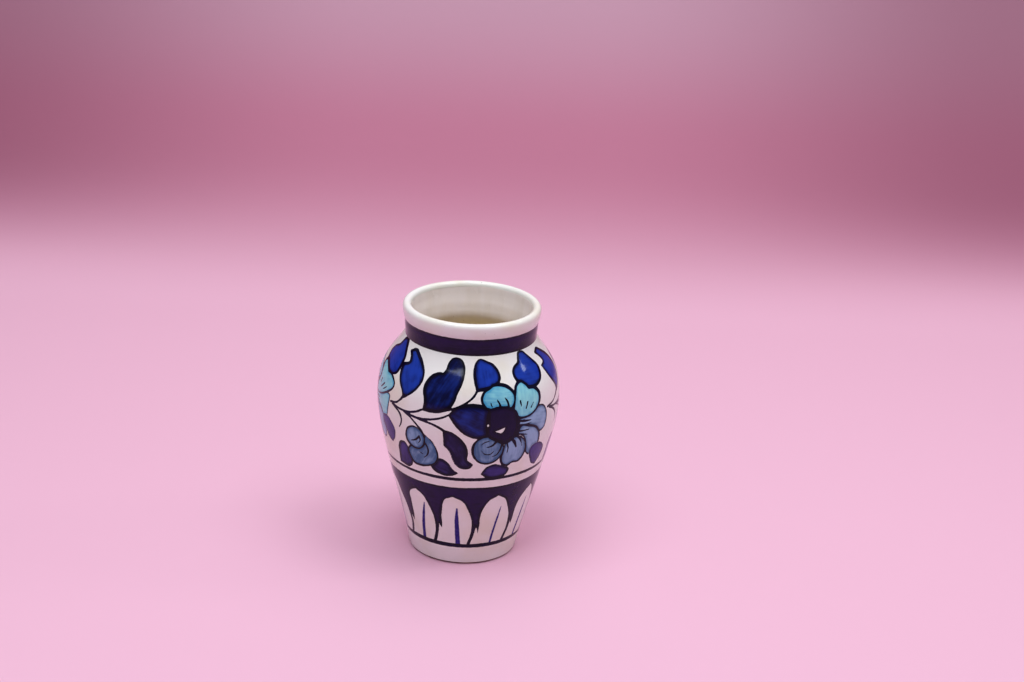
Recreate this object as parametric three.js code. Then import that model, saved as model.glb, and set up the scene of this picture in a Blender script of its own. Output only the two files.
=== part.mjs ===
// A small glazed pottery vase: a full shoulder, a short collar and a rolled lip, on a bare foot ring.
// It is built as a potter builds it. A floor slab is luted on a foot ring, the belly wall stands on the
// slab, and the collar with its lip is luted on the shoulder. Two coats of glaze then cover the clay:
// one outside, from just above the table up over the lip, and a liner inside.
// Millimetres, +Z up. The origin is the centre of the foot ring, on the surface that the vase stands on.

import * as THREE from "three";

// Foot
const FOOT_RADIUS = 24.6; // outside of the foot ring's clay at the table
const FOOT_RING_WIDTH = 4.6;
const FOOT_HEIGHT = 3; // depth of the recess inside the ring
const FOOT_BEVEL = 0.5; // on both bottom corners of the ring
const RECESS_DRAFT = 0.8; // how far the recess narrows towards its roof

// Body
const FLOOR_THICKNESS = 4.4;
const FLOOR_FILLET = 6; // inside, between the floor and the wall
const BODY_WALL = 3.2;
const FLANK_LEAN = 10.5; // degrees from upright, where the wall leaves the foot
const BELLY_RADIUS = 41.5; // outside of the clay at its widest
const BELLY_HEIGHT = 75;
const SHOULDER_RISE = 30.2; // from the widest level up to the crease under the collar
const SHOULDER_FALL = 57.7; // degrees below level, where the shoulder meets the crease

// Fullness of the body's two curves: how far each end pulls its curve, as a share of the curve's rise
const FOOT_PULL = 0.29;
const BELLY_PULL_DOWN = 0.2;
const BELLY_PULL_UP = 0.573;
const CREASE_PULL = 0.438;

// Collar and lip
const NECK_RADIUS = 29.5; // outside of the clay at the crease
const COLLAR_WALL = 3;
const COLLAR_RISE = 7.8; // from the crease to the root of the lip
const COLLAR_FLARE = 0.5; // how much wider the collar is at the lip's root than at the crease
const LIP_RISE = 6.6; // from its root to its crown
const LIP_OVERHANG = 1.5; // how far the lip stands out beyond the crease
const LIP_THICKNESS = 3.1;

// Glaze
const GLAZE = 0.4; // thickness of each coat
const GLAZE_STOP = 1; // height of the outer coat's wiped edge above the table

// Fineness of the facets
const FACETS = 48; // round the axis
const LONG_CURVE_STEPS = 6;
const SHORT_CURVE_STEPS = 3;
const CROWN_STEPS = 6;

// Places that follow from the sizes
const FLOOR_TOP = FOOT_HEIGHT + FLOOR_THICKNESS;
const CREASE_HEIGHT = BELLY_HEIGHT + SHOULDER_RISE;
const LIP_RADIUS = NECK_RADIUS + LIP_OVERHANG;
const CROWN_HEIGHT = CREASE_HEIGHT + COLLAR_RISE + LIP_RISE; // top of the clay
const CROWN_RADIUS = LIP_THICKNESS / 2; // of the round top of the lip

const at = (radius, height) => new THREE.Vector2(radius, height);

// A cubic curve that leaves `start` along `startPull` and arrives at `end` along minus `endPull`.
function pulledCurve(start, startPull, end, endPull, steps) {
  const curve = new THREE.CubicBezierCurve(
    start,
    start.clone().add(startPull),
    end.clone().add(endPull),
    end,
  );
  return curve.getPoints(steps);
}

// The same line with a point added wherever it passes one of the heights.
function withLevels(line, heights) {
  const cut = line.slice();
  for (const height of heights) {
    const next = cut.findIndex((p) => p.y > height);
    const [low, high] = [cut[next - 1], cut[next]];
    const share = (height - low.y) / (high.y - low.y);
    if (share > 0) cut.splice(next, 0, at(low.x + share * (high.x - low.x), height));
  }
  return cut;
}

const span = (line, low, high) => line.filter((p) => p.y >= low && p.y <= high);

// The line moved sideways: to the right of its own direction, or to the left if the distance is negative.
function offset(line, distance) {
  const sides = line.slice(1).map((p, i) => {
    const along = p.clone().sub(line[i]).normalize();
    return at(along.y, -along.x);
  });
  return line.map((p, i) => {
    const before = sides[Math.max(i - 1, 0)];
    const after = sides[Math.min(i, sides.length - 1)];
    const middle = before.clone().add(after).normalize();
    return p.clone().addScaledVector(middle, distance / middle.dot(before));
  });
}

// Outside of the body, from the table up to the crease.
function bodyOutside() {
  const foot = at(FOOT_RADIUS, 0);
  const belly = at(BELLY_RADIUS, BELLY_HEIGHT);
  const crease = at(NECK_RADIUS, CREASE_HEIGHT);
  const lean = THREE.MathUtils.degToRad(FLANK_LEAN);
  const fall = THREE.MathUtils.degToRad(SHOULDER_FALL);
  const flank = pulledCurve(
    foot,
    at(Math.sin(lean), Math.cos(lean)).multiplyScalar(FOOT_PULL * BELLY_HEIGHT),
    belly,
    at(0, -BELLY_PULL_DOWN * BELLY_HEIGHT),
    LONG_CURVE_STEPS,
  );
  const shoulder = pulledCurve(
    belly,
    at(0, BELLY_PULL_UP * SHOULDER_RISE),
    crease,
    at(Math.cos(fall), -Math.sin(fall)).multiplyScalar(CREASE_PULL * SHOULDER_RISE),
    LONG_CURVE_STEPS,
  );
  return withLevels(
    [...flank, ...shoulder.slice(1)],
    [FOOT_BEVEL, GLAZE_STOP, FOOT_HEIGHT, FLOOR_TOP],
  );
}

// Outside of the collar, from the crease up to the widest level of the lip: a neck that flares a little,
// then a lip that bulges out from its root.
function collarOutside() {
  const lipRoot = at(NECK_RADIUS + COLLAR_FLARE, CREASE_HEIGHT + COLLAR_RISE);
  const lipSide = at(LIP_RADIUS, CROWN_HEIGHT - CROWN_RADIUS);
  const collar = pulledCurve(
    at(NECK_RADIUS, CREASE_HEIGHT),
    at(0, COLLAR_RISE / 3),
    lipRoot,
    at(0, -COLLAR_RISE / 3),
    SHORT_CURVE_STEPS,
  );
  const lip = pulledCurve(
    lipRoot,
    at((LIP_RADIUS - lipRoot.x) / 2, LIP_RISE / 6),
    lipSide,
    at(0, -LIP_RISE / 3),
    SHORT_CURVE_STEPS,
  );
  return [...collar, ...lip.slice(1)];
}

// The round crown of the lip, from its outer side over to its inner side.
function crown() {
  const arc = new THREE.EllipseCurve(
    LIP_RADIUS - CROWN_RADIUS,
    CROWN_HEIGHT - CROWN_RADIUS,
    CROWN_RADIUS,
    CROWN_RADIUS,
    0,
    Math.PI,
  );
  return arc.getPoints(CROWN_STEPS);
}

// Inside of the collar, from the lip down to the level of the crease.
function collarInside() {
  const mouth = at(LIP_RADIUS - LIP_THICKNESS, CROWN_HEIGHT - CROWN_RADIUS);
  const throat = at(NECK_RADIUS - COLLAR_WALL, CREASE_HEIGHT);
  const fall = (mouth.y - throat.y) / 3;
  return pulledCurve(mouth, at(0, -fall), throat, at(0, fall), SHORT_CURVE_STEPS);
}

// Inside of the belly wall, from the throat down to the toe of its fillet on the floor.
function bodyInside(outside) {
  const wall = offset(outside, -BODY_WALL);
  const filletTop = FLOOR_TOP + FLOOR_FILLET;
  const throatGap = COLLAR_WALL / 2; // kept free under the collar: the last stretch runs straight to it
  const inner = withLevels(wall, [filletTop]).filter(
    (p) => p.y >= filletTop && p.y < CREASE_HEIGHT - throatGap,
  );
  const fillet = new THREE.EllipseCurve(
    inner[0].x - FLOOR_FILLET,
    filletTop,
    FLOOR_FILLET,
    FLOOR_FILLET,
    0,
    -Math.PI / 2,
    true,
  );
  return [...inner.reverse(), ...fillet.getPoints(SHORT_CURVE_STEPS).slice(1)];
}

const outside = bodyOutside();
const collarFace = collarOutside();
const lipCrown = crown();
const throatFace = collarInside();
const inside = bodyInside(outside);

const foot = span(outside, FOOT_BEVEL, FOOT_HEIGHT);
const recessRadius = FOOT_RADIUS - FOOT_RING_WIDTH;

// The ring that the vase stands on, bevelled at both bottom corners.
const footRing = [
  at(FOOT_RADIUS - FOOT_BEVEL, 0),
  ...foot,
  at(recessRadius - RECESS_DRAFT, FOOT_HEIGHT),
  at(recessRadius, FOOT_BEVEL),
  at(recessRadius + FOOT_BEVEL, 0),
];

// The disc that closes the vase, on the foot ring and under the wall.
const floorSlab = [
  at(0, FOOT_HEIGHT),
  ...span(outside, FOOT_HEIGHT, FLOOR_TOP),
  at(0, FLOOR_TOP),
];

const bellyWall = [...outside.filter((p) => p.y >= FLOOR_TOP), throatFace.at(-1), ...inside];

const neckCollar = [...collarFace, ...lipCrown.slice(1), ...throatFace.slice(1)];

// The clay's whole surface, from the wiped edge of the glaze up over the lip and down to the floor's centre.
const clayOut = [
  ...outside.filter((p) => p.y >= GLAZE_STOP),
  ...collarFace.slice(1),
  ...lipCrown.slice(1),
];
const clayIn = [...throatFace.slice(1), ...inside, at(0, FLOOR_TOP)];
const glazeFace = offset([...clayOut, ...clayIn], GLAZE);
const coatJoint = clayOut.length - 1; // the coats meet on the lip's inner side

const outerGlaze = [...glazeFace.slice(0, coatJoint + 1), ...clayOut.slice().reverse()];
const innerGlaze = [
  ...glazeFace.slice(coatJoint),
  ...[clayOut[coatJoint], ...clayIn].reverse(),
];

// A solid turned round the Z axis from a closed profile of radius and height.
function turned(name, profile, material) {
  const onAxis = profile[0].x === 0 && profile.at(-1).x === 0;
  const closed = onAxis ? profile : [...profile, profile[0]];
  const geometry = new THREE.LatheGeometry(closed, FACETS);
  geometry.rotateX(Math.PI / 2);
  const mesh = new THREE.Mesh(geometry, material);
  mesh.name = name;
  return mesh;
}

const clay = new THREE.MeshStandardMaterial({ color: "#8a5a44", roughness: 0.85, metalness: 0 });
const whiteGlaze = new THREE.MeshStandardMaterial({ color: "#ece8e4", roughness: 0.12, metalness: 0 });
const linerGlaze = new THREE.MeshStandardMaterial({ color: "#cfc9be", roughness: 0.2, metalness: 0 });

const vase = new THREE.Group();
vase.add(
  turned("foot_ring", footRing, clay),
  turned("floor_slab", floorSlab, clay),
  turned("belly_wall", bellyWall, clay),
  turned("neck_collar", neckCollar, clay),
  turned("outer_glaze", outerGlaze, whiteGlaze),
  turned("inner_glaze", innerGlaze, linerGlaze),
);

export default vase;
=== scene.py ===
# %% [markdown]
# # A painted pottery vase
#
# The pot was thrown on a wheel, dipped in white glaze, painted and fired. The work here takes the same
# steps: turn each surface from the pot's own section, lay the painting on it stroke by stroke, and then
# give it its finish.

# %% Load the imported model
import math

import bpy
import numpy as np
from mathutils import Matrix, Vector


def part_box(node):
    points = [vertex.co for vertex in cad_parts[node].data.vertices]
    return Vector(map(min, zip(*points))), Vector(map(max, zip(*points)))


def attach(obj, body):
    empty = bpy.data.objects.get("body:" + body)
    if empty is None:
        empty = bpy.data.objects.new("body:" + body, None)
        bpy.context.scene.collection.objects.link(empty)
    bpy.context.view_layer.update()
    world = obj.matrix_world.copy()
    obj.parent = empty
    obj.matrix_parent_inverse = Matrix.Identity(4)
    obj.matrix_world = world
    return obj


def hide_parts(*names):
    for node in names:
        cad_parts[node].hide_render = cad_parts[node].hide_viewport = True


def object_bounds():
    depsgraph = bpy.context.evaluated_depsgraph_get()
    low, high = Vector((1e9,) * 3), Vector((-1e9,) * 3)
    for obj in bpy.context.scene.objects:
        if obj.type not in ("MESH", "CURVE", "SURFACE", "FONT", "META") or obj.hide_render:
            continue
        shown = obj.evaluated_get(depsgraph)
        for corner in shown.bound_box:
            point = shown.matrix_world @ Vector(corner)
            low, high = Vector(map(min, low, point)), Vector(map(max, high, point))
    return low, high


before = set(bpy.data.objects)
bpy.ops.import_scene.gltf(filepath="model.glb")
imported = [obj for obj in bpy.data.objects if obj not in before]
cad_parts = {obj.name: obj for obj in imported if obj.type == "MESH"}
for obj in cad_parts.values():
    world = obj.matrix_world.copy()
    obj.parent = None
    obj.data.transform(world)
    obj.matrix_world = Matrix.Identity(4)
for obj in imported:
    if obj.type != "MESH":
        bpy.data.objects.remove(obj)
cad_low, cad_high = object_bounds()
scene = bpy.context.scene
MM = 0.001
height = cad_high.z - cad_low.z
print(f"the model is {height / MM:.1f} mm tall and has {len(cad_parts)} nodes")

# %% [markdown]
# ## Reading the section
#
# Every piece of a thrown pot is a line turned round an axis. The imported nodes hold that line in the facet
# corners on one side of the axis, so no size has to be repeated here.

# %% Walk round a turned node's section
CLOSE = 0.001  # mm, within which two places are the same


def spots_of(mesh):
    """A mesh's points in mm."""
    spots = np.empty(len(mesh.vertices) * 3)
    mesh.vertices.foreach_get("co", spots)
    return spots.reshape(-1, 3) / MM


def section_line(node):
    """The (radius, height) corners of a turned node's section in mm, in order, and whether it is closed."""
    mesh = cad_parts[node].data
    spots = spots_of(mesh)
    outward = spots[np.argmax(np.hypot(spots[:, 0], spots[:, 1]))] * (1, 1, 0)
    outward /= np.linalg.norm(outward)
    radius = spots @ outward
    beside = np.abs(spots @ np.cross(outward, (0, 0, 1)))
    on_plane = (beside < CLOSE) & (radius > -CLOSE)
    corner = [tuple(c) for c in np.round(np.c_[radius, spots[:, 2]], 3)]
    links = {}
    for face in mesh.polygons:
        for a, b in face.edge_keys:
            if on_plane[a] and on_plane[b] and corner[a] != corner[b]:
                links.setdefault(corner[a], set()).add(corner[b])
                links.setdefault(corner[b], set()).add(corner[a])
    ends = sorted(c for c in links if len(links[c]) == 1)
    line = [ends[0] if ends else min(links)]
    while len(line) < len(links):
        line.append(min(c for c in links[line[-1]] if c not in line[-2:] and c not in line[:1]))
    return np.array(line), not ends


def exposed_face(node):
    """The side of a coat that can be seen, from its lower end up, and the coat's thickness in mm.

    The section is cut at its thin edges, and the part that reaches highest is the one that shows.
    """
    line, closed = section_line(node)
    if closed:
        line = np.vstack([line, line[:1]])
    lengths = np.linalg.norm(np.diff(line, axis=0), axis=1)
    cuts = np.flatnonzero(lengths < 1.1 * lengths.min()) + 1
    if closed:
        line = np.vstack([line[cuts[0]:-1], line[:cuts[0]]])
        cuts = (cuts - cuts[0])[1:]
    parts = np.split(line, cuts)
    face = max(parts, key=lambda part: part[:, 1].max())
    return face if face[0, 1] < face[-1, 1] else face[::-1], lengths.min()


outer_face, coat_thickness = exposed_face("outer_glaze")
inner_face, _ = exposed_face("inner_glaze")
crease_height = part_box("neck_collar")[0].z / MM
print(f"the coats show {len(outer_face)} and {len(inner_face)} corners, {coat_thickness:.2f} mm thick")

# %% [markdown]
# ## Smooth lines through a few points
#
# A potter's section and a brush's edge are flowing lines through a few places. A Catmull-Rom curve draws
# them. Spacing its parameter by the square root of each gap keeps it from looping where points are close
# together.

# %% Draw a flowing line
def flowing(points, step, closed=False):
    """A smooth line through the points, with about `step` between its own points."""
    points = np.asarray(points, float)
    if closed:
        before, after = points[-1:], points[:2]
    else:
        before, after = 2 * points[:1] - points[1:2], 2 * points[-1:] - points[-2:-1]
    through = np.vstack([before, points, after])
    gaps = np.sqrt(np.maximum(np.linalg.norm(np.diff(through, axis=0), axis=1), 1e-9))
    knots = np.r_[0, np.cumsum(gaps)]
    line = []
    for i in range(1, len(through) - 2):
        count = max(1, round(gaps[i] ** 2 / step))
        t = np.linspace(knots[i], knots[i + 1], count, endpoint=False)[:, None]

        def blend(low, a, high, b):
            gap = knots[high] - knots[low]
            return (knots[high] - t) / gap * a + (t - knots[low]) / gap * b

        a, b, c = (blend(k, through[k], k + 1, through[k + 1]) for k in (i - 1, i, i + 1))
        line.append(blend(i, blend(i - 1, a, i + 1, b), i + 1, blend(i, b, i + 2, c)))
    return np.vstack(line if closed else [*line, points[-1:]])


def lengths_along(line):
    return np.r_[0, np.cumsum(np.linalg.norm(np.diff(line, axis=0), axis=1))]


def points_at(line, distances):
    """The points at some distances along a line."""
    return np.transpose([np.interp(distances, lengths_along(line), axis) for axis in line.T])


def evened(line, step):
    """The same line with its points an equal distance apart, close to `step`."""
    length = lengths_along(line)[-1]
    return points_at(line, np.linspace(0, length, max(2, round(length / step) + 1)))


LINE_STEP = 0.2  # mm between the points of the pot's own lines
at_crease = int(np.argmin(np.abs(outer_face[:, 1] - crease_height)))
body_line = flowing(outer_face[:at_crease + 1], LINE_STEP)
collar_line = flowing(outer_face[at_crease:], LINE_STEP)
inside_line = flowing(inner_face, LINE_STEP)
body_length = lengths_along(body_line)[-1] + outer_face[0, 1]
print(f"the outside runs {body_length:.1f} mm from the table to the crease")

# %% [markdown]
# ## Networks of nodes in plain words
#
# The wheel and the finishes are networks of nodes. A small class wraps a node's output, so that sums can
# be written as sums. Every other node comes from one call.

# %% A tree of nodes and its values
class Value:
    """A node's output that Python's operators work on."""

    def __init__(self, tree, socket):
        self.tree, self.socket = tree, socket

    def maths(self, operation, *others):
        inputs = dict(enumerate((self, *others)))
        return self.tree.node("ShaderNodeMath", {"operation": operation}, inputs)

    def __add__(self, other):
        return self.maths("ADD", other)

    def __sub__(self, other):
        return self.maths("SUBTRACT", other)

    def __mul__(self, other):
        return self.maths("MULTIPLY", other)


class Tree:
    """A network whose nodes are added by one method."""

    def __init__(self, tree):
        self.nodes, self.links = tree.nodes, tree.links

    def node(self, kind, settings=None, inputs=None, output=0):
        made = self.nodes.new(kind)
        for key, value in (settings or {}).items():
            setattr(made, key, value)
        for key, value in (inputs or {}).items():
            if isinstance(value, Value):
                self.links.new(value.socket, made.inputs[key])
            else:
                made.inputs[key].default_value = value
        return Value(self, made.outputs[output])

    def vector(self, operation, *values):
        return self.node("ShaderNodeVectorMath", {"operation": operation}, dict(enumerate(values)))

    def end(self, kind, value):
        self.links.new(value.socket, self.nodes.new(kind).inputs[0])

# %% [markdown]
# ## The wheel
#
# Geometry Nodes turn a piece, by carrying a line round a circle. The line is drawn relative to the
# circle's radius. A thrown pot is never quite true, so each point is then moved in or out a little, by a
# slow noise that changes round the pot and a fine one that changes with height, like throwing rings.

# %% Build the wheel
WHEEL_RADIUS = 20 * MM  # of the circle that carries the section
SLOW_SCALE, RING_SCALE = 28.0, 520.0  # how fine the two noises are
RING_TILT = 0.04  # how much of the way round the pot a throwing ring takes in, against its height
SETTINGS = {"Geometry": "Geometry", "Facets": "Int", "Unevenness": "Float", "Ring depth": "Float",
            "Seed": "Float", "Finish": "Material"}


def wheel_tree():
    """The node group, and the key by which a modifier knows each of its settings."""
    group = bpy.data.node_groups.new("wheel", "GeometryNodeTree")
    keys = {}
    for label, kind in SETTINGS.items():
        socket = group.interface.new_socket(label, in_out="INPUT", socket_type=f"NodeSocket{kind}")
        keys[label] = socket.identifier
    group.interface.new_socket("Geometry", in_out="OUTPUT", socket_type="NodeSocketGeometry")
    wheel = Tree(group)
    given = wheel.nodes.new("NodeGroupInput").outputs
    line, facets, unevenness, ring_depth, seed, finish = (Value(wheel, given[label]) for label in SETTINGS)
    section = wheel.node("GeometryNodeMeshToCurve", inputs={0: line})
    circle = wheel.node("GeometryNodeCurvePrimitiveCircle", {"mode": "RADIUS"},
                        {"Resolution": facets, "Radius": WHEEL_RADIUS})
    turned = wheel.node("GeometryNodeCurveToMesh", inputs={"Curve": circle, "Profile Curve": section})
    closed = wheel.node("GeometryNodeMergeByDistance", inputs={"Geometry": turned, "Distance": CLOSE * MM})
    place = wheel.node("GeometryNodeInputPosition")
    outward = wheel.vector("NORMALIZE", wheel.vector("MULTIPLY", place, (1, 1, 0)))
    level = wheel.vector("MULTIPLY", place, (RING_TILT, RING_TILT, 1))

    def noise(vector, scale):
        inputs = {"Vector": vector, "W": seed, "Scale": scale, "Detail": 1.0}
        return wheel.node("ShaderNodeTexNoise", {"noise_dimensions": "4D"}, inputs) - 0.5

    shift = noise(place, SLOW_SCALE) * unevenness + noise(level, RING_SCALE) * ring_depth
    offset = wheel.node("ShaderNodeVectorMath", {"operation": "SCALE"}, {0: outward, "Scale": shift})
    moved = wheel.node("GeometryNodeSetPosition", inputs={"Geometry": closed, "Offset": offset})
    real = wheel.node("GeometryNodeRealizeInstances", inputs={"Geometry": moved})
    glazed = wheel.node("GeometryNodeSetMaterial", inputs={"Geometry": real, "Material": finish})
    wheel.end("NodeGroupOutput", glazed)
    return group, keys


wheel, wheel_keys = wheel_tree()
print(f"the wheel tree has {len(wheel.nodes)} nodes")

# %% Turn a section into a piece
SHARP_TURN = math.radians(35)  # edges that turn further than this stay sharp


def turn(name, section, closed, finish, facets, unevenness=0.25, ring_depth=0.05, seed=1.0, run=None):
    """A piece turned from a section, with its sizes in mm.

    `run` gives each point's distance along the pot's outside, and is less than nothing on a coat's back.
    """
    line = bpy.data.meshes.new(name)
    count = len(section)
    edges = [(i, (i + 1) % count) for i in range(count if closed else count - 1)]
    line.from_pydata([(r * MM - WHEEL_RADIUS, -z * MM, 0) for r, z in section], edges, [])
    lengths = np.zeros(count) if run is None else run
    line.attributes.new("run", "FLOAT", "POINT").data.foreach_set("value", lengths)
    thrown = bpy.data.objects.new(name, line)
    scene.collection.objects.link(thrown)
    modifier = thrown.modifiers.new("wheel", "NODES")
    modifier.node_group = wheel
    for key, value in {"Facets": facets, "Unevenness": unevenness * MM, "Ring depth": ring_depth * MM,
                       "Seed": seed, "Finish": finish}.items():
        modifier[wheel_keys[key]] = value
    depsgraph = bpy.context.evaluated_depsgraph_get()
    mesh = bpy.data.meshes.new_from_object(thrown.evaluated_get(depsgraph), depsgraph=depsgraph)
    thrown.modifiers.clear()
    thrown.data = mesh
    spots = spots_of(mesh)
    mesh.calc_loop_triangles()
    corner_shade = spots[np.array([t.vertices[:] for t in mesh.loop_triangles])]
    volume = np.einsum("ij,ij->i", corner_shade[:, 0], np.cross(corner_shade[:, 1], corner_shade[:, 2])).sum() / 6
    if volume < 0:
        mesh.flip_normals()
    mesh.shade_smooth()
    mesh.set_sharp_from_angle(angle=SHARP_TURN)
    low, high = spots.min(0), spots.max(0)
    print(f"{name}: {len(corner_shade)} triangles, {high[0] - low[0]:.1f} mm wide, "
          f"{low[2]:.1f} to {high[2]:.1f} mm high")
    return thrown

# %% [markdown]
# ## A surface to paint on
#
# The painting is colour fused in the glaze, so it has no thickness to model. Each brush mark is kept as a
# distance: how deep a point lies inside the mark, in millimetres, and less than nothing outside it. The
# finish can then draw its edge sharply at any size of picture. Marks are drawn on the pot's unrolled
# face: degrees round from the middle of its front, and millimetres up its outside from the table.

# %% A canvas on a turned piece
CLEAR = -4.0  # mm, the depth where no mark comes near
REACH = 3.0  # mm, how far from its edge a mark's distances are worked out
OUTLINE_STEP = 0.5  # mm between an outline's own points
MM_PER_DEGREE = 0.68  # round the belly, where most of the painting is
LEAST_MM_PER_DEGREE = 0.5


def tip(turned, run):
    """A corner of an outline. Its other points are joined smoothly."""
    return turned, run, 1


def outline(points):
    """A closed brush outline through a few (degrees, mm) points, sharp at its tips."""
    sharp = [i for i, point in enumerate(points) if len(point) == 3]
    flat = np.array([point[:2] for point in points]) * (MM_PER_DEGREE, 1)
    if sharp:
        flat = np.roll(flat, -sharp[0], axis=0)
        stops = [i - sharp[0] for i in sharp] + [len(flat)]
        flat = np.vstack([flat, flat[:1]])
        flat = np.vstack([flowing(flat[a:b + 1], OUTLINE_STEP)[:-1] for a, b in zip(stops, stops[1:])])
    else:
        flat = flowing(flat, OUTLINE_STEP, closed=True)
    return np.vstack([flat, flat[:1]]) / (MM_PER_DEGREE, 1)


class Canvas:
    """Where a piece's points lie on the unrolled pot, and how deep in each kind of mark."""

    def __init__(self, piece, marks, seed):
        self.mesh = piece.data
        spots = spots_of(self.mesh)
        count = len(spots)
        self.run = np.empty(count)
        self.mesh.attributes["run"].data.foreach_get("value", self.run)
        self.turned = np.degrees(np.arctan2(spots[:, 0], -spots[:, 1]))
        self.mm_per_degree = np.radians(np.hypot(spots[:, 0], spots[:, 1]))
        self.depth = {mark: np.full(count, CLEAR) for mark in marks}
        self.brush = np.zeros((count, 3))
        self.covered = np.full(count, CLEAR)
        self.random = np.random.default_rng(seed)

    def measure(self, line, reach=REACH):
        """The points within `reach` mm of a line, and how each lies to it.

        That is its distance in mm, whether it is inside, how far along the line its nearest place is, from
        0 to 1, and the line's points as seen from it.
        """
        middle = line[:, 0].mean()
        turned = middle + (self.turned - middle + 180) % 360 - 180
        wide = reach / LEAST_MM_PER_DEGREE
        beside = (turned > line[:, 0].min() - wide) & (turned < line[:, 0].max() + wide)
        level = (self.run > line[:, 1].min() - reach) & (self.run < line[:, 1].max() + reach)
        near = np.flatnonzero(beside & level)
        x = (line[:, 0] - turned[near, None]) * self.mm_per_degree[near, None]
        y = line[:, 1] - self.run[near, None]
        dx, dy = np.diff(x, axis=1), np.diff(y, axis=1)
        share = np.clip(-(x[:, :-1] * dx + y[:, :-1] * dy) / np.maximum(dx ** 2 + dy ** 2, 1e-12), 0, 1)
        gaps = np.hypot(x[:, :-1] + share * dx, y[:, :-1] + share * dy)
        nearest = gaps.argmin(axis=1)
        rows = np.arange(len(near))
        above = y > 0
        crosses = above[:, :-1] != above[:, 1:]
        at = x[:, :-1] - y[:, :-1] * dx / np.where(crosses, dy, 1)
        inside = (crosses & (at > 0)).sum(axis=1) % 2 == 1
        along = (nearest + share[rows, nearest]) / (len(line) - 1)
        return near, gaps[rows, nearest], inside, along, (x, y)

    def add(self, mark, near, depth):
        self.depth[mark][near] = np.maximum(self.depth[mark][near], depth)

    def wash(self, mark, line, load=None):
        """A filled mark, which hides what lies under it. Its streaks run along its length."""
        near, gap, inside, _, (x, y) = self.measure(line)
        depth = np.where(inside, gap, -gap)
        for under in self.depth:
            self.depth[under][near] = np.minimum(self.depth[under][near], -depth)
        self.add(mark, near, depth)
        flat = (line - line.mean(axis=0)) * (MM_PER_DEGREE, 1)
        long_way = np.linalg.eigh(flat.T @ flat)[1][:, 1]
        centre = np.c_[-x[:, :-1].mean(axis=1), -y[:, :-1].mean(axis=1)]
        own = self.random.uniform(0, 1) if load is None else load
        top = depth > self.covered[near]
        self.covered[near[top]] = depth[top]
        across = centre @ (long_way[1], -long_way[0])
        self.brush[near[top]] = np.c_[across, centre @ long_way, np.full(len(near), own)][top]

    def line(self, mark, points, *widths):
        """An open stroke, whose widths in mm are spread evenly along it. Its ends are round."""
        line = flowing(np.array(points) * (MM_PER_DEGREE, 1), OUTLINE_STEP) / (MM_PER_DEGREE, 1)
        near, gap, _, along, _ = self.measure(line)
        half = np.interp(along, np.linspace(0, 1, len(widths)), widths) / 2
        self.add(mark, near, half - gap)

    def rim(self, mark, line, width):
        """A stroke along a closed outline, pressed harder on some sides than on others."""
        near, gap, _, along, _ = self.measure(line)
        once_round = np.sin(2 * np.pi * (along + self.random.uniform()))
        three_times = np.sin(6 * np.pi * (along + self.random.uniform()))
        press = 1 + 0.3 * once_round + 0.15 * three_times
        self.add(mark, near, width / 2 * press - gap)

    def finish(self):
        """Store the marks on the mesh, where the finish can read them."""
        for mark, depth in self.depth.items():
            kept = np.where(self.run > 0, depth, CLEAR)
            self.mesh.attributes.new(mark, "FLOAT", "POINT").data.foreach_set("value", kept)
        strokes = self.mesh.attributes.new("brush", "FLOAT_VECTOR", "POINT")
        strokes.data.foreach_set("vector", self.brush.ravel())
        print(", ".join(f"{mark} {np.mean(depth > 0):.0%}" for mark, depth in self.depth.items()))

# %% [markdown]
# ## The spray of flowers
#
# The belly carries one spray three times over: a joint where the stems meet, a row of leaves, a bud, and
# one open flower. It is written down once, as outlines through a few points. Each wash is painted with
# its outline, and the stems and small strokes come last.

# %% Leaves and petals of one spray
# Each shape: how full of pigment the brush was, from 0 when nearly dry to 1 when full, and its outline.
LEAVES = {
    "notched leaf": (0.15, [
        tip(-54.6, 106.8), (-50, 108.2), (-44, 106.2), (-37.5, 103), (-33.7, 99.5), (-33, 96),
        (-35.5, 92), (-39.5, 89), tip(-44.3, 86.2), (-46.6, 89.3), (-50, 92.2), (-53, 96),
        tip(-54.8, 100.2), (-51.5, 100.9), (-49.6, 102), (-51.2, 104.6)]),
    "leaf with a lobe": (1.3, [
        (-11, 109), (-7, 108.3), (-4.3, 105.5), (-4, 101.5), (-5.2, 97), (-7.6, 93), (-9, 89.5),
        (-12, 86.5), (-17.5, 84.5), (-23, 84), tip(-27.6, 84), (-27.4, 88), (-29.3, 92.5),
        (-28.8, 96.3), (-26, 99.4), (-22, 101), tip(-18.6, 101.2), (-16.8, 103), (-16.3, 106),
        (-14, 108.4)]),
    "leaf on the long stem": (0.25, [
        tip(5.8, 95), (4.4, 99), (4, 103.5), (5.3, 107.4), (8.2, 109), (13, 108), (18, 106.3),
        (21.3, 103.5), (22, 100.5), (20, 98), (16.5, 96.4), (11, 95.6)]),
    "leaf over the flower": (0.1, [
        (44, 109.6), (49, 109.8), (52, 108), (55.8, 105), (59, 101.5), (58.2, 98), (54.5, 94.9),
        (49, 93.5), (43, 93.8), (38, 95.8), (34.3, 98.5), (33.5, 101.6), (36, 104), (40.6, 105.6),
        (42.3, 107.8)]),
    "leaf beside the flower": (1.1, [
        tip(-11.3, 83.4), (-7, 86.6), (-1, 88.2), (6, 88.3), (12, 86.8), (16, 83), (16, 78), (13, 74.7),
        (8, 73.2), (2.5, 73.7), (-2.5, 75.8), (-7, 79.2)]),
}
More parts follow.
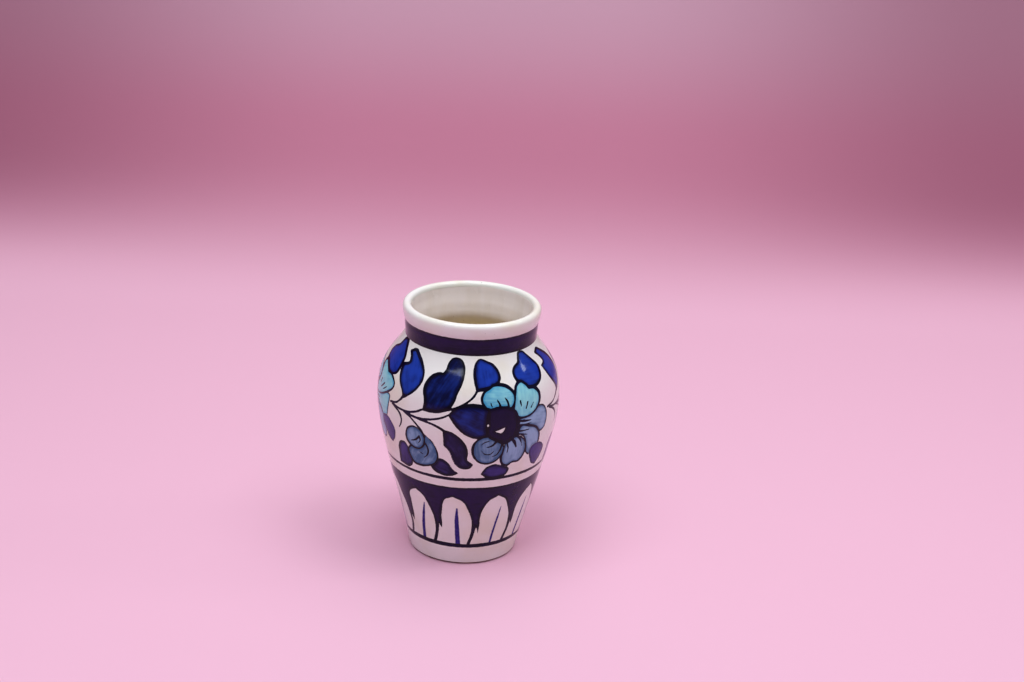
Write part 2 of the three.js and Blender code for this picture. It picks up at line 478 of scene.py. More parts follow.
DARK_LEAVES = {
    "boot leaf": (1.1, [
        tip(-14.4, 76), (-9.5, 75.2), (-4.5, 72.7), (-0.8, 69), (0.7, 65), (0.5, 61.6), tip(4.4, 58.9),
        (2.6, 57.1), (-1.5, 56.6), (-5.5, 57.9), (-8.3, 61), (-10.3, 65.5), tip(-13.8, 68.3), (-14, 72)]),
    "bud's left leaf": (0.4, [
        (-47, 64), (-43.5, 64.6), (-40, 62), (-38.2, 58), (-38.7, 54), (-42.5, 51.9), tip(-50.6, 52.4),
        (-49.8, 57), (-49.3, 61)]),
    "bud's right leaf": (0.9, [
        tip(-24.2, 57), (-20, 60), (-15.5, 60.7), (-11.5, 58.8), (-8.5, 55.8), tip(-5.3, 53.8),
        (-9.5, 52.4), (-15, 52.2), (-20.5, 53.6)]),
    "leaf under the flower": (0.35, [
        tip(10.8, 53.6), (14, 57), (19, 58.5), (25, 57.4), (29.7, 55), (28.6, 52.4), (24, 51.4),
        (16, 51.5)]),
}
OUTER_LEAF_LOAD = 0.1
OUTER_LEAF = [(46.3, 64.3), (52, 65.2), (57.5, 63.6), (61.6, 60.2), (60.4, 56.2), tip(55.5, 52.4),
              (50.6, 54), (47.3, 57.6), (45.2, 61.3)]
UPPER_PETALS = {
    "left upper petal": (0.65, [
        tip(11.3, 87.2), (8.6, 90.5), (10, 94), (13.3, 95.6), (17, 97.2), (22.5, 97), (27.3, 95.4),
        (30.4, 92.5), (30.6, 89), (27.8, 86.2), (21, 86.6), (15, 86.6)]),
    "right upper petal": (0.15, [
        tip(29.4, 84.6), (31, 91.5), (33, 95.8), (37, 97.2), (40.5, 95.6), tip(42.7, 93.5), (46.8, 93),
        (50.3, 90.6), (50.6, 87), (47.6, 83.6), (42, 81.2), (35.5, 80.8), (31, 82.2)]),
}
LOWER_PETALS = {
    "right petal": (0.1, [
        tip(32, 76.6), (40, 76.4), (47, 74.5), (52, 71.2), (56, 72.2), (57.6, 76.8), (56.4, 81),
        (53, 83.6), (47.8, 84), (43, 82.2), (37, 81), tip(32, 80.6)]),
    "falling petal": (0, [
        tip(33, 73.6), (38, 71), (40.8, 66), (42.2, 62), (46.2, 60.2), (50.7, 62), (52.4, 66.5),
        (51.3, 70.6), (47.5, 74), (41, 76), (35, 76.8)]),
    "low petal": (0.2, [
        tip(25, 71), (23.9, 66), (23, 61.6), (24.7, 58.3), (28.6, 57.2), (32, 58.5), (36.5, 58.4),
        (39.8, 61), (40.4, 65.5), (38, 69.6), (33.5, 72)]),
    "curled petal": (0.95, [
        (8.6, 72.9), (5, 70.3), (4, 66.5), (5.6, 62.7), (9.6, 60), (14.6, 59.3), (19.6, 60.7), (23, 64),
        (23.6, 68), (21.4, 71.4), (15.5, 73.6)]),
    "bud's outer petal": (0.9, [
        tip(-27.4, 72.3), (-22.5, 69.6), (-19.2, 65.6), (-18.3, 61.5), (-20.3, 58), (-25, 55.9),
        (-31, 54.9), (-36.6, 55.4), (-39.2, 58.4), (-40, 62), (-36, 65), (-30, 67)]),
    "bud's heart": (0.5, [
        (-41, 69.3), (-39.4, 72.8), (-34.6, 74.6), (-29.6, 73.3), (-27, 70), (-27.8, 66.2), (-32, 63.7),
        (-37, 64.3), (-40.2, 66.4)]),
}
FLOWER_EYE = [(13.4, 85.6), (19, 87), (26, 86.5), (30.3, 84.4), (32.3, 79.5), (31.8, 75), (29, 71.4),
              (24, 69.9), (19, 71.4), (13.4, 74.2), (11.8, 78)]
EYE_GAP = [tip(17.2, 76), (20.6, 76.8), tip(23.6, 77.6), (22.8, 76), tip(21.4, 74.8)]
EYE_DOT = [(12, 79.2), (12.6, 79.8), (13.3, 79.2), (12.6, 78.6)]
print(f"{len(LEAVES | DARK_LEAVES | UPPER_PETALS | LOWER_PETALS) + 2} washes in a spray")

# %% Stems and inner strokes of one spray
# Each stroke is its points, then its widths in mm from its start to its end.
STEMS = [
    ([(-56, 81.6), (-50, 82.7), (-46.7, 84.7), (-44, 87.4)], 1.1, 0.9, 1.5),
    ([(-54, 81.3), (-46, 80.5), (-39, 80.7), (-33, 82), (-28, 83.9), (-20, 84), (-13.5, 85.2), (-6, 87.4),
      (0, 90), (4, 92.8), (6, 95.6)], 0.9, 1.1, 1, 0.9, 1.1),
    ([(-42, 80.2), (-31, 79.3), (-23, 80), (-16, 81.6), (-10.5, 83.8)], 0.7, 1.1, 0.9),
    ([(-45, 80.4), (-37, 79.4), (-29.5, 78.7), (-22, 78), (-17, 76.8), (-13, 75.2)], 0.6, 0.8, 1.4),
    ([(-43, 80), (-37.5, 78.6), (-32.5, 76), (-29, 73.6), (-26.9, 70.6)], 0.7, 1, 1.1),
    ([(-54, 81), (-49.5, 79.8), (-46.3, 78.4), (-44.6, 76), (-45.2, 73.4), (-47, 71.4)], 0.8, 1.2, 0.5),
]
PETAL_STROKES = [
    ([(18.4, 90.6), (19.6, 89), (20.8, 86.8)], 0.6, 0.9, 0.9),
    ([(23.6, 91.2), (25.2, 89.5), (26, 87)], 0.5, 0.9, 0.9),
    ([(14, 89.6), (15, 87.6)], 0.4, 0.6),
    ([(34.4, 88.6), (34.8, 86.2)], 0.9, 0.6),
    ([(40, 87.4), (38.4, 84.6)], 0.9, 0.6),
    ([(44.6, 86.6), (42.4, 84.4)], 0.4, 0.6),
    ([(31.5, 79.8), (37, 79), (42.4, 78.6)], 0.8, 1.3, 0.5),
    ([(31.6, 77.8), (37, 77.1), (43, 77.3)], 1.1, 0.9, 0.4),
    ([(31, 75), (36, 74.3), (41.4, 74.2)], 0.9, 0.8, 0.5),
    ([(30.6, 73.2), (36, 72.6), (40.6, 71.8)], 0.8, 0.8, 0.4),
    ([(28, 72), (31, 69.4), (32.8, 66.6)], 1.2, 1.6, 0.8),
    ([(32, 72.6), (35.6, 69.6), (37.4, 66.4)], 0.9, 0.8, 0.4),
    ([(25.4, 70.4), (27, 66.6), (26.6, 63.4)], 0.8, 0.7, 0.3),
    ([(12.8, 68.2), (16, 68.8), (19, 71)], 0.5, 0.9, 1.2),
    ([(9.4, 66.6), (12, 64.6), (15.4, 64.4), (17.6, 66)], 0.3, 0.6, 0.6, 0.3),
    ([(9, 69.4), (11.2, 70.8), (14, 71.4)], 0.3, 0.6, 0.5),
    ([(22.6, 70.6), (21.8, 66.8), (19.6, 63.9), (16.6, 63)], 0.8, 0.9, 0.7, 0.4),
    ([(-37, 67), (-33.4, 68.2), (-30.6, 70.4)], 0.5, 0.9, 1),
    ([(-30.6, 70.4), (-30, 68.4), (-31.4, 66.9)], 1, 0.6, 0.4),
    ([(-26.6, 67.8), (-24.8, 65), (-25.2, 61.9), (-28.2, 59.6)], 0.7, 0.9, 0.8, 0.4),
    ([(-31.6, 62.4), (-28.6, 61.4)], 0.4, 0.6),
]
print(f"{len(STEMS)} stems and {len(PETAL_STROKES)} strokes inside petals")

# %% Paint a spray at a place round the pot
SPRAY_START, SPRAY_END = -54.6, 59  # degrees, as it is written down
SWAY_HEIGHT = 6.5  # mm, how far up and down a sway is felt


class Spray:
    """Where one of the three sprays sits, and how it differs, because no painter repeats a spray exactly.

    It runs from `first` to `last` degrees. Near the height `sway_run` it is pushed sideways by `sway`
    degrees, its outer leaf is moved by `lean`, a `phase` makes it drift, and `bluer` petals are turquoise.
    """

    def __init__(self, first, last, sway=0.0, sway_run=89, lean=(0, 0), phase=None, bluer=()):
        self.first, self.stretch = first, (last - first) / (SPRAY_END - SPRAY_START)
        self.sway, self.sway_run, self.lean, self.phase, self.bluer = sway, sway_run, lean, phase, bluer

    def at(self, line):
        line = np.asarray(line, float)
        turned = self.first + (line[:, 0] - SPRAY_START) * self.stretch
        turned = turned + self.sway * np.exp(-((line[:, 1] - self.sway_run) / SWAY_HEIGHT) ** 2)
        run = line[:, 1].copy()
        if self.phase is not None:
            by_turn = 1.3 * np.sin(0.11 * line[:, 0] + self.phase)
            by_height = 0.8 * np.sin(0.16 * line[:, 1] + 2 * self.phase)
            turned += by_turn + by_height
            run += 0.6 * np.sin(0.09 * line[:, 0] + 3 * self.phase)
        return np.c_[turned, run]

    def leaned(self, points):
        moved = [tuple(np.add(point[:2], self.lean)) for point in points]
        return [tip(*place) if len(point) == 3 else place for place, point in zip(moved, points)]


SPRAYS = [
    Spray(SPRAY_START, SPRAY_END),
    Spray(63.8, 182, sway=-6.5, sway_run=79, phase=0.7),
    Spray(-175.7, -57.5, sway=9, sway_run=89, lean=(4.5, 8), phase=2.9, bluer=("right petal",)),
]
WASHES = (  # in painting order: the pigment, the shapes, and how wide their outlines are in mm
    ("cobalt", LEAVES, 1.25),
    ("violet", DARK_LEAVES, 0.7),
    ("slate", LOWER_PETALS, 0.85),
    ("turquoise", UPPER_PETALS, 1.2),
)
EYE_RIM = 1.4  # mm


def paint_spray(canvas, spray):
    for mark, shapes, rim in WASHES:
        for shape, (load, points) in shapes.items():
            line = spray.at(outline(points))
            canvas.wash("turquoise" if shape in spray.bluer else mark, line, load)
            canvas.rim("outline", line, rim)
    outer_leaf = spray.at(outline(spray.leaned(OUTER_LEAF)))
    canvas.wash("violet", outer_leaf, OUTER_LEAF_LOAD)
    eye = spray.at(outline(FLOWER_EYE))
    canvas.wash("eye", eye)
    canvas.rim("outline", eye, EYE_RIM)
    for points, *widths in STEMS + PETAL_STROKES:
        canvas.line("outline", spray.at(points), *widths)
    for points in (EYE_GAP, EYE_DOT):
        near, gap, inside, _, _ = canvas.measure(spray.at(outline(points)), 1.0)
        for depth in canvas.depth.values():
            depth[near] = np.minimum(depth[near], np.where(inside, -gap, gap))

# %% [markdown]
# ## Hoops and the border
#
# Hoops are painted with the pot turning under a still brush. Under the belly's hoop comes a dark border
# with a row of pointed panels left white. Each wedge between two panels is drawn out into a thin tail
# down to the foot line, and each panel gets one stroke down its middle.

# %% Paint hoops and the border of panels
HOOPS = {"belly hoop": (50.4, 1.55), "foot hoop": (10.8, 2.1)}
BORDER_TOP = 45.5
LIP_EDGE = 113.1  # the height where the collar's band stops under the lip
PANELS = 11
TAIL_LEANS = (0, -0.4, 0.8, 0, 1.6, -0.5, 0.6, 2, 0, 1, 3.6)  # how many degrees each wedge's tail leans
PEAKS = (-1, -3.2, -0.8, 2, 0, -2, 1, -3, 0, 2, -1)  # how many degrees each panel's peak is off its middle
FIRST_PANEL = -37.6  # degrees, the middle of a panel
# Each panel's stroke: how many degrees its top and its foot are off the middle, and its width in mm.
PANEL_STROKES = ((4.9, -0.9, 1.7), (0, 1.2, 2.1), (2.6, -1.4, 1.1), (-0.4, -3.6, 1.4))
BORDER_LOAD = 0.3  # how full of pigment the border's brush was


def brushed_round(canvas, load):
    """Streaks that run round the pot, as it turned under the brush. `load` may be each point's own."""
    canvas.brush[:, 0] = canvas.run
    canvas.brush[:, 1] = np.abs(canvas.turned) * canvas.mm_per_degree
    canvas.brush[:, 2] = load


def hand_wave(turned, phase, size):
    """A slow wander round the pot that closes on itself."""
    angle = np.radians(turned)
    waves = np.sin(2 * angle + phase) + 0.6 * np.sin(5 * angle + 2.3 * phase)
    return size * (waves + 0.3 * np.sin(11 * angle - phase))


def paint_hoops(canvas):
    for place, (run, width) in enumerate(HOOPS.values()):
        middle = run + hand_wave(canvas.turned, 1.9 * place, 0.1)
        half = width / 2 + hand_wave(canvas.turned, 1 + place, 0.08)
        canvas.depth["outline"] = np.maximum(canvas.depth["outline"], half - np.abs(canvas.run - middle))


def paint_border(canvas):
    brushed_round(canvas, BORDER_LOAD)
    pitch = 360 / PANELS
    for panel, (lean, peak) in enumerate(zip(TAIL_LEANS, PEAKS)):
        next_peak = PEAKS[(panel + 1) % PANELS]
        # c is the middle of this panel and n of the next, in degrees.
        c = FIRST_PANEL + pitch * panel + canvas.random.uniform(-0.7, 0.7)
        n = FIRST_PANEL + pitch * (panel + 1)
        rise = canvas.random.uniform(-0.5, 0.5)
        spur = canvas.random.uniform(17.5, 22.2)
        near_edge = [tip(c - 8, 49), tip(c - 8, 42.5), (c - 1 + peak, 39.8 + rise), (c + 4.6, 37.2),
                     (c + 9, 32.2), (c + 12.2 + 0.4 * lean, 27), (c + 13.2 + 0.7 * lean, 22),
                     (c + 12.6 + lean, 17.5)]
        tail = [tip(c + 9.6 + lean, 11.6), tip(c + 13 + lean, 11.6), (c + 15.6 + lean, 17),
                tip(c + 17.1 + 0.4 * lean, 22.8), tip(n - 13.9 + 0.6 * lean, spur)]
        far_edge = [(n - 13.3 + 0.8 * lean, 23.5), (n - 13.5 + 0.8 * lean, 27.5),
                    (n - 12.6 + 0.6 * lean, 31.5), (n - 10 + 0.5 * next_peak, 35.4),
                    (n - 6.4 + next_peak, 38), (n - 2 + next_peak, 39.4), (n + 3, 42), tip(n + 5, 49)]
        wedge = outline(near_edge + tail + far_edge)
        near, gap, inside, _, _ = canvas.measure(wedge, 2.0)
        canvas.add("band", near, np.where(inside, gap, -gap))
        top, foot, width = PANEL_STROKES[panel % len(PANEL_STROKES)]
        bow = canvas.random.uniform(-0.6, 0.6)
        canvas.line("stroke", [(c + top, 33), (c + 0.7 * top + 0.3 * foot + bow, 26.5),
                               (c + 0.3 * top + 0.7 * foot + bow, 19), (c + foot, 12)],
                    0.35 * width, 0.9 * width, width, 1.05 * width)
    edge = BORDER_TOP + hand_wave(canvas.turned, 0.4, 0.12) - canvas.run
    canvas.depth["band"] = np.minimum(canvas.depth["band"], edge)


def paint_collar(canvas, bottom, top):
    """The dark band between the crease and the lip, laid on in one turn of the wheel."""
    brushed_round(canvas, np.interp(canvas.run, (bottom, top), (1.0, 0.1)))
    edge = top + hand_wave(canvas.turned, 2.1, 0.1) - canvas.run
    canvas.depth["band"] = np.minimum(edge, canvas.run - bottom + 2)
    # A near-black line along the crease: painted shade in the groove where the collar meets the shoulder.
    crease_shade = 0.75 + hand_wave(canvas.turned, 0.9, 0.1) - np.abs(canvas.run - bottom)
    canvas.depth["outline"] = crease_shade


# %% A finish
class Finish(Tree):
    """A material, drawn with short calls."""

    def __init__(self, name):
        self.material = bpy.data.materials.new(name)
        self.material.use_nodes = True
        super().__init__(self.material.node_tree)
        self.nodes.clear()

    def place(self):
        return self.node("ShaderNodeTexCoord", output="Object")

    def part(self, vector, axis):
        return self.node("ShaderNodeSeparateXYZ", inputs={0: vector}, output=axis)

    def stretched(self, vector, *by):
        return self.vector("MULTIPLY", vector, by)

    def noise(self, vector, scale, detail=2.0, roughness=0.5):
        return self.node("ShaderNodeTexNoise", inputs={"Vector": vector, "Scale": scale, "Detail": detail,
                                                       "Roughness": roughness})

    def ramp(self, value, low, high, start=0.0, stop=1.0):
        """A smooth step of a value from `low` to `high`."""
        return self.node("ShaderNodeMapRange", {"interpolation_type": "SMOOTHSTEP"}, {
            "Value": value, "From Min": low, "From Max": high, "To Min": start, "To Max": stop})

    def mix(self, share, under, over):
        """A colour that goes from `under` to `over` as the share goes from 0 to 1."""
        inputs = {"Factor": share, 6: under, 7: over}  # 6 and 7 are the A and B of a colour
        return self.node("ShaderNodeMix", {"data_type": "RGBA"}, inputs, output=2)

    def mark(self, name):
        return self.node("ShaderNodeAttribute", {"attribute_name": name}, output="Fac")

    def relief(self, height, depth, strength):
        """Fine relief, up to `depth` mm deep, for the shader's Normal."""
        return self.node("ShaderNodeBump", inputs={"Strength": strength, "Distance": depth * MM,
                                                   "Height": height})

    def surface(self, **inputs):
        """Close the material with a Principled shader, whose inputs are named with _ for each space."""
        inputs = {key.replace("_", " "): value for key, value in inputs.items()}
        self.end("ShaderNodeOutputMaterial", self.node("ShaderNodeBsdfPrincipled", inputs=inputs))
        return self.material


def pigment(code):
    """A colour written as six hex digits, as the light that it sends back."""
    parts = [int(code[i:i + 2], 16) / 255 for i in (0, 2, 4)]
    return tuple(p / 12.92 if p <= 0.04045 else ((p + 0.055) / 1.055) ** 2.4 for p in parts) + (1,)


# %% [markdown]
# ## The glazes
#
# A tin glaze is white and glossy but never quite even: it turns a little yellow in places and holds a few
# specks. The blues lie in it as thin washes, nearly black where they are deep. Each stroke leaves paler
# streaks along its own direction and a darker line where it dried.

# %% The painted glaze
WHITE, WARM_WHITE, SPECK = pigment("e9e7e2"), pigment("e2dccb"), pigment("6f5f55")
# Each mark: its thin colour, its deep colour, how much the streaks show, and how sharp its edge is in mm.
MARKS = {
    "band": ("240f48", "050118", 0.5, 0.16),
    "stroke": ("4a3f98", "1f1370", 0.8, 0.4),
    "cobalt": ("2142a4", "02063a", 0.6, 0.15),
    "violet": ("433880", "0e0732", 0.6, 0.15),
    "slate": ("95b2ce", "44688c", 0.7, 0.15),
    "turquoise": ("98d6da", "4c9cc0", 0.7, 0.15),
    "eye": ("160a3a", "050118", 0.6, 0.15),
    "outline": ("120a3e", "04011a", 0.5, 0.14),
}
BELLY_MARKS = ("cobalt", "violet", "slate", "turquoise", "eye", "outline")
BORDER_MARKS = ("band", "stroke", "outline")
COLLAR_MARKS = ("band", "outline")
# How fine each noise in the glaze is: the larger, the finer.
DRIFT, SHEEN, BLOTS, PEEL, WANDER, SPECKS, FUZZ = 45, 120, 210, 330, 620, 900, 2600
STREAKS = (0.75, 0.09, 40)  # fine across the stroke, long along it, and new for each load of the brush
EDGE_WANDER, EDGE_FUZZ = 0.34, 0.1  # mm, how unsteady a painted edge is
GLOSS = {"IOR": 1.5, "Specular_IOR_Level": 0.3, "Coat_Weight": 0.05, "Coat_Roughness": 0.04}


def painted_glaze(name, marks, lip=False):
    """White glaze with its marks. A lip is rubbed, so it shows more specks."""
    glaze = Finish(name)
    place = glaze.place()
    drift = glaze.ramp(glaze.noise(place, DRIFT, 3), 0.42, 0.72)
    colour = glaze.mix(drift * 0.8, WHITE, WARM_WHITE)
    specks = glaze.ramp(glaze.noise(place, SPECKS, 1), 0.755 if lip else 0.79, 0.83)
    colour = glaze.mix(specks * 0.55, colour, SPECK)
    brush = glaze.node("ShaderNodeAttribute", {"attribute_name": "brush"}, output="Vector")
    streaks = glaze.noise(glaze.stretched(brush, *STREAKS), 1.0, 3, 0.55)
    blots = glaze.noise(place, BLOTS, 2)
    tone = glaze.part(brush, "Z")
    wander = (glaze.noise(place, WANDER, 2) - 0.5) * EDGE_WANDER
    wobble = wander + (glaze.noise(place, FUZZ, 1) - 0.5) * EDGE_FUZZ
    painted = None
    for mark in marks:
        thin, deep, streaky, edge = MARKS[mark]
        depth = glaze.mark(mark) + wobble
        share = glaze.ramp(depth, -edge / 2, edge / 2)
        pooled = glaze.ramp(depth, 0.1, 1.9, 0.6, 0.0)
        streaked = glaze.ramp(streaks, 0.3, 0.7) * streaky * 0.45
        load = streaked + glaze.ramp(blots, 0.3, 0.7) * 0.3 + tone * 0.6 + pooled
        wash = glaze.mix(glaze.ramp(load, 0.15, 1.3), pigment(thin), pigment(deep))
        colour = glaze.mix(share, colour, wash)
        painted = share if painted is None else painted.maths("MAXIMUM", share)
    peel = glaze.noise(place, PEEL, 2) * 0.5 + painted * 0.5 - specks * 0.8
    matt = glaze.ramp(glaze.noise(place, SHEEN, 2), 0.35, 0.75, 0.05, 0.12) + painted * 0.03
    return glaze.surface(Base_Color=colour, Roughness=matt, Normal=glaze.relief(peel, 0.12, 0.25), **GLOSS)


YELLOWS, DEEPENS = (107, 88), (84, 50)  # mm above the table, between which the liner changes colour


def liner_glaze():
    """White at the mouth, yellow and streaky down inside where it ran and pooled, partly as painted shade.
    """
    glaze = Finish("liner glaze")
    place = glaze.place()
    level = glaze.part(place, "Z") * (1 / MM) + (glaze.noise(place, 40, 2) - 0.5) * 18
    runs = glaze.noise(glaze.stretched(place, 1, 1, 0.15), 170, 3)
    # Yellower, then greyer, down inside: partly glaze that ran and pooled, partly painted shade of the deep
    # inside.
    colour = glaze.mix(glaze.ramp(level, *YELLOWS), pigment("f6ece8"), pigment("fff0c4"))
    colour = glaze.mix(glaze.ramp(level, *DEEPENS), colour, pigment("f4e9cf"))
    colour = glaze.mix(glaze.ramp(runs, 0.4, 0.75) * 0.14, colour, pigment("c0b08c"))
    specks = glaze.ramp(glaze.noise(place, 700, 1), 0.77, 0.83)
    colour = glaze.mix(specks * 0.5, colour, SPECK)
    matt = glaze.ramp(glaze.noise(place, 150, 2), 0.3, 0.7, 0.14, 0.28)
    return glaze.surface(Base_Color=colour, Roughness=matt, Normal=glaze.relief(runs - specks, 0.2, 0.3),
                         IOR=1.5, Coat_Weight=0.2, Coat_Roughness=0.06)


def bare_clay():
    """Fired earthenware: a warm brown body with pale grit and the fine turning lines of the foot."""
    clay = Finish("bare clay")
    place = clay.place()
    radius = clay.node("ShaderNodeVectorMath", {"operation": "LENGTH"}, {0: clay.stretched(place, 1, 1, 0)},
                       output="Value")
    rings = clay.node("ShaderNodeTexNoise", {"noise_dimensions": "1D"},
                      {"W": radius, "Scale": 1500.0, "Detail": 2.0})
    colour = clay.mix(clay.ramp(clay.noise(place, 90, 3), 0.3, 0.7), pigment("74392a"), pigment("935a43"))
    grit = clay.noise(place, 1800, 2)
    colour = clay.mix(clay.ramp(grit, 0.62, 0.75) * 0.6, colour, pigment("c9a583"))
    colour = clay.mix(clay.ramp(grit, 0.38, 0.28) * 0.6, colour, pigment("43281d"))
    return clay.surface(Base_Color=colour, Roughness=clay.ramp(grit, 0.2, 0.8, 0.72, 0.92),
                        Normal=clay.relief(grit + rings, 0.25, 0.5))


belly_finish = painted_glaze("painted glaze belly", BELLY_MARKS)
border_finish = painted_glaze("painted glaze border", BORDER_MARKS)
collar_finish = painted_glaze("painted glaze collar", COLLAR_MARKS, lip=True)
liner_finish = liner_glaze()
clay_finish = bare_clay()
print(", ".join(f"{m.name} {len(m.node_tree.nodes)} nodes" for m in bpy.data.materials))

# %% [markdown]
# ## Turning the pieces
#
# The outer coat is turned in three pieces that meet under painted lines: the border up to the belly's
# hoop, the belly up to the crease, and the collar with its lip. Each is a thin closed coat on the clay.
# Its face is fine enough to hold the painting, and its back is coarse.

# %% Turn the coats and the clay
BORDER_RUN = HOOPS["belly hoop"][0]
# How far apart a section's points are, in mm.
FACE_STEP, BACK_STEP, LINER_STEP, CLAY_STEP, FOOT_STEP, SLAB_STEP = 0.43, 6.0, 0.8, 1.5, 0.35, 0.6
# How many facets a piece has round the axis.
BELLY_FACETS, COAT_FACETS, LINER_FACETS, FOOT_FACETS, HIDDEN_FACETS = 600, 480, 192, 160, 96


def shifted(line, distance):
    """The line moved to the right of its own direction by a distance in mm."""
    along = np.gradient(line, axis=0)
    along /= np.linalg.norm(along, axis=1)[:, None]
    return line + np.c_[along[:, 1], -along[:, 0]] * distance


def part_of(line, start, stop):
    """The stretch of a line between two distances along it."""
    along = lengths_along(line)
    return points_at(line, np.r_[start, along[(along > start) & (along < stop)], stop])


def coat(name, line, finish, facets, first_run):
    """A closed coat of glaze: a fine face along the line, and a coarse back one coat behind it."""
    face = evened(line, FACE_STEP)
    back = shifted(evened(line, BACK_STEP), -coat_thickness)[::-1]
    run = np.r_[first_run + lengths_along(face), np.full(len(back), -1)]
    return turn(name, np.vstack([face, back]), True, finish, facets, run=run)


start = outer_face[0, 1]  # the run where the coat begins, just above the table
border_line = part_of(body_line, 0, BORDER_RUN - start)
belly_line = part_of(body_line, BORDER_RUN - start, body_length - start)
border = coat("glaze_border", border_line, border_finish, COAT_FACETS, start)
belly = coat("glaze_belly", belly_line, belly_finish, BELLY_FACETS, BORDER_RUN)
collar = coat("glaze_collar", collar_line, collar_finish, COAT_FACETS, body_length)

liner_back = shifted(evened(inside_line, BACK_STEP), coat_thickness)
liner_back[0, 0] = 0
liner_face = evened(inside_line, LINER_STEP)[::-1]
liner = turn("glaze_inside", np.vstack([liner_back, liner_face]), False, liner_finish, LINER_FACETS,
             unevenness=0.4, ring_depth=0.2, seed=4)


SLAB_GAP, TOE = 0.2, 0.5  # mm, how near the slab the clay's own points come, and how far its toe reaches in


def clay_body():
    """The wall and collar under the coats: up from the slab, over the lip and down inside."""
    slab_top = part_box("belly_wall")[0].z / MM
    outside = shifted(evened(np.vstack([body_line, collar_line[1:]]), CLAY_STEP), -coat_thickness)
    inside = shifted(evened(inside_line, CLAY_STEP), coat_thickness)[::-1]
    outside = outside[outside[:, 1] > slab_top + SLAB_GAP]
    inside = inside[inside[:, 1] > slab_top + SLAB_GAP]
    heel = np.interp(slab_top, outside[:2, 1], outside[:2, 0])
    return np.vstack([[heel, slab_top], outside, inside, [inside[-1, 0] - TOE, slab_top]])


def softened(node, step):
    """A node's section with its points closer together, so that the wheel's marks can show on it."""
    line, closed = section_line(node)
    if closed:
        return evened(np.vstack([line, line[:1]]), step)[:-1], closed
    return evened(line, step), closed


body = turn("clay_body", clay_body(), True, clay_finish, HIDDEN_FACETS, unevenness=0, ring_depth=0)
foot = turn("clay_foot", *softened("foot_ring", FOOT_STEP), clay_finish, FOOT_FACETS,
            unevenness=0.15, ring_depth=0.2, seed=6)
slab = turn("clay_floor", *softened("floor_slab", SLAB_STEP), clay_finish, HIDDEN_FACETS,
            unevenness=0.1, ring_depth=0.1, seed=7)

# %% Paint the coats
border_canvas = Canvas(border, BORDER_MARKS, seed=11)
paint_border(border_canvas)
paint_hoops(border_canvas)
border_canvas.finish()

belly_canvas = Canvas(belly, BELLY_MARKS, seed=12)
for spray in SPRAYS:
    paint_spray(belly_canvas, spray)
paint_hoops(belly_canvas)
belly_canvas.finish()

collar_canvas = Canvas(collar, COLLAR_MARKS, seed=13)
band_top = body_length + lengths_along(collar_line)[np.argmax(collar_line[:, 1] > LIP_EDGE)]
paint_collar(collar_canvas, body_length, band_top)
collar_canvas.finish()

# %% [markdown]
# ## Whose place each piece takes
#
# Nothing moves, so every piece rides on the one body. The coats stand for the two glaze nodes, and the
# turned clay stands for the faceted clay. The nodes that they hide keep a finish too.

# %% Put the pieces in the object
PLACES = (
    (border, "painted_glaze", "outer_glaze"),
    (belly, "painted_glaze", "outer_glaze"),
    (collar, "painted_glaze", "outer_glaze"),
    (liner, "liner_glaze", "inner_glaze"),
    (body, "clay", "belly_wall", "neck_collar"),
    (foot, "clay", "foot_ring"),
    (slab, "clay", "floor_slab"),
)
for piece, slot, *nodes in PLACES:
    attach(piece, "root")
    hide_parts(*nodes)
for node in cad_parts.values():
    for hidden in node.material_slots:
        hidden.material = liner_finish if "glaze" in node.name else clay_finish
print(f"{sum(len(place[0].data.polygons) for place in PLACES)} faces in {len(PLACES)} pieces")

# %% [markdown]
# ## The studio
#
# The vase stands on pale pink paper that curves up behind it. The key light comes from the front left,
# the fill from the right, and a wide light from above and behind. Two narrow strips give the glints on
# the shoulder. The paper is painted darker as it curves up and in the far corners: painted shade, where
# the studio's light falls away.

# %% Lay the floor and hang the lights
def floor_finish():
    """Pale pink paper with painted shade where it curves up and in the far corners. Places are in metres.
    """
    paper = Finish("pale pink paper")
    place = paper.place()
    back, across = paper.part(place, "Y"), paper.part(place, "X")
    side = across.maths("ABSOLUTE")
    colour = paper.mix(paper.noise(place, 2.0, 1), pigment("e6b7cb"), pigment("e4b4c8"))
    # Painted shade: the paper darkens where it curves up, and is a little less dark higher on the wall.
    colour = paper.mix(paper.ramp(back, 0.31, 0.52), colour, pigment("bb7a91"))
    colour = paper.mix(paper.ramp(back, 0.53, 0.66), colour, pigment("c098a9"))
    # Painted shade in the far corners of the paper.
    corner_shade = paper.ramp(side, 0.08, 0.42, 0, 0.6) * paper.ramp(back, 0.36, 0.5)
    colour = paper.mix(corner_shade, colour, pigment("864a61"))
    grain = paper.relief(paper.noise(place, 900, 2), 0.1, 0.1)
    return paper.surface(Base_Color=colour, Roughness=0.75, Normal=grain)


FLOOR_HALF, SWEEP_START, SWEEP_RADIUS, WALL_TOP = 2.5, 0.30, 0.45, 1.6  # metres
SWEEP_STEPS = 32
bends = np.linspace(0, math.pi / 2, SWEEP_STEPS + 1)
curve = [(SWEEP_START + SWEEP_RADIUS * math.sin(a), SWEEP_RADIUS * (1 - math.cos(a))) for a in bends]
sweep = [(-FLOOR_HALF, 0.0), *curve, (SWEEP_START + SWEEP_RADIUS, WALL_TOP)]
floor_mesh = bpy.data.meshes.new("floor")
floor_mesh.from_pydata([(side * FLOOR_HALF, y, z) for y, z in sweep for side in (-1, 1)], [],
                       [(2 * i, 2 * i + 1, 2 * i + 3, 2 * i + 2) for i in range(len(sweep) - 1)])
floor_mesh.shade_smooth()
floor_mesh.materials.append(floor_finish())
floor = bpy.data.objects.new("floor", floor_mesh)
scene.collection.objects.link(floor)

middle = Vector((0, 0, height / 2))


def way_out(round_by, rise):
    """The direction that lies some radians round from the front and above level."""
    level = math.cos(rise)
    return Vector((math.sin(round_by) * level, -math.cos(round_by) * level, math.sin(rise)))


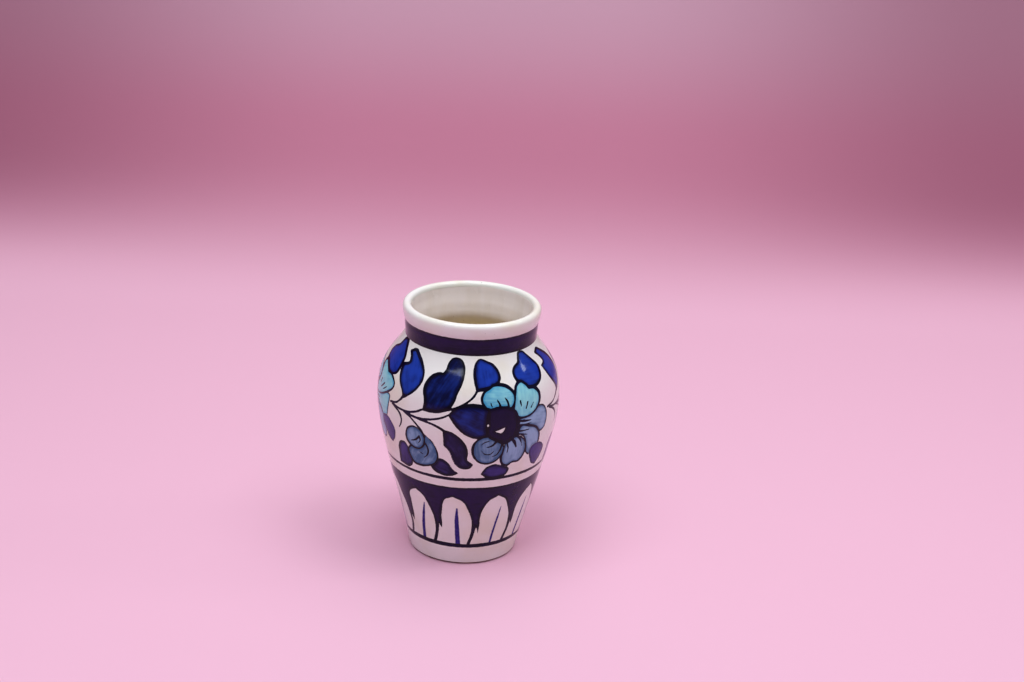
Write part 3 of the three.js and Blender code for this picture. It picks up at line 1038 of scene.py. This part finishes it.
# Each light: degrees round from the front and above level, distance and sides in metres, watts, colour.
LIGHTS = {
    "key": (-40, 69, 1.15, (0.7, 0.55), 5.0, (0.89, 0.97, 1.0)),
    "fill": (70, 62, 1.25, (0.5, 0.4), 3.0, (0.93, 0.98, 1.0)),
    "top": (150, 76, 1.5, (1.4, 1.2), 8.8, (0.95, 1.0, 1.0)),
    "left strip": (-26, 51, 1.25, (0.4, 0.075), 0.55, (0.95, 1.0, 1.0)),
    "right strip": (96, 33, 1.25, (0.22, 0.12), 0.55, (0.95, 1.0, 1.0)),
}
for name, (round_by, rise, distance, sides, power, colour) in LIGHTS.items():
    lamp = bpy.data.lights.new(name, "AREA")
    lamp.shape = "RECTANGLE"
    lamp.size, lamp.size_y = sides
    lamp.energy, lamp.color = power, colour
    hung = bpy.data.objects.new(name, lamp)
    way = way_out(math.radians(round_by), math.radians(rise))
    hung.location = middle + way * distance
    hung.rotation_euler = way.to_track_quat("Z", "Y").to_euler()
    scene.collection.objects.link(hung)

world = bpy.data.worlds.new("studio")
world.use_nodes = True
room = world.node_tree.nodes["Background"].inputs
room["Color"].default_value = (0.82, 0.80, 0.92, 1)
room["Strength"].default_value = 0.34
scene.world = world
scene.view_settings.view_transform = "Standard"
scene.view_settings.look = "Medium High Contrast"

# %% [markdown]
# ## The camera
#
# The view is from the front and looks down at about 24 degrees. The camera is rolled a little, so that
# the vase seems to lean to the right, and then turned right and up towards its aim.

# %% Set up the camera
DISTANCE = 0.7906  # metres
ELEVATION, ROLL, AIM_RIGHT, AIM_UP = np.radians((23.61, 2.36, 1.506, 2.777)).tolist()


def swung(one, other, angle):
    """Two square directions, turned together from the first towards the second."""
    return one * math.cos(angle) + other * math.sin(angle), other * math.cos(angle) - one * math.sin(angle)


lens = bpy.data.cameras.new("camera")
lens.lens, lens.sensor_width = 59.77, 36  # mm
lens.clip_start, lens.clip_end = 0.01, 50
camera = bpy.data.objects.new("camera", lens)
back = way_out(0, ELEVATION)
ahead, across = -back, Vector((1, 0, 0))
upward = across.cross(ahead)
across, upward = swung(across, upward, ROLL)
ahead, across = swung(ahead, across, AIM_RIGHT)
ahead, upward = swung(ahead, upward, AIM_UP)
turned = Matrix((across, upward, -ahead)).transposed().to_4x4()
camera.matrix_world = Matrix.Translation(middle + back * DISTANCE) @ turned
scene.collection.objects.link(camera)
scene.camera = camera
print(f"the camera is {camera.location.length:.2f} m from the foot's centre")
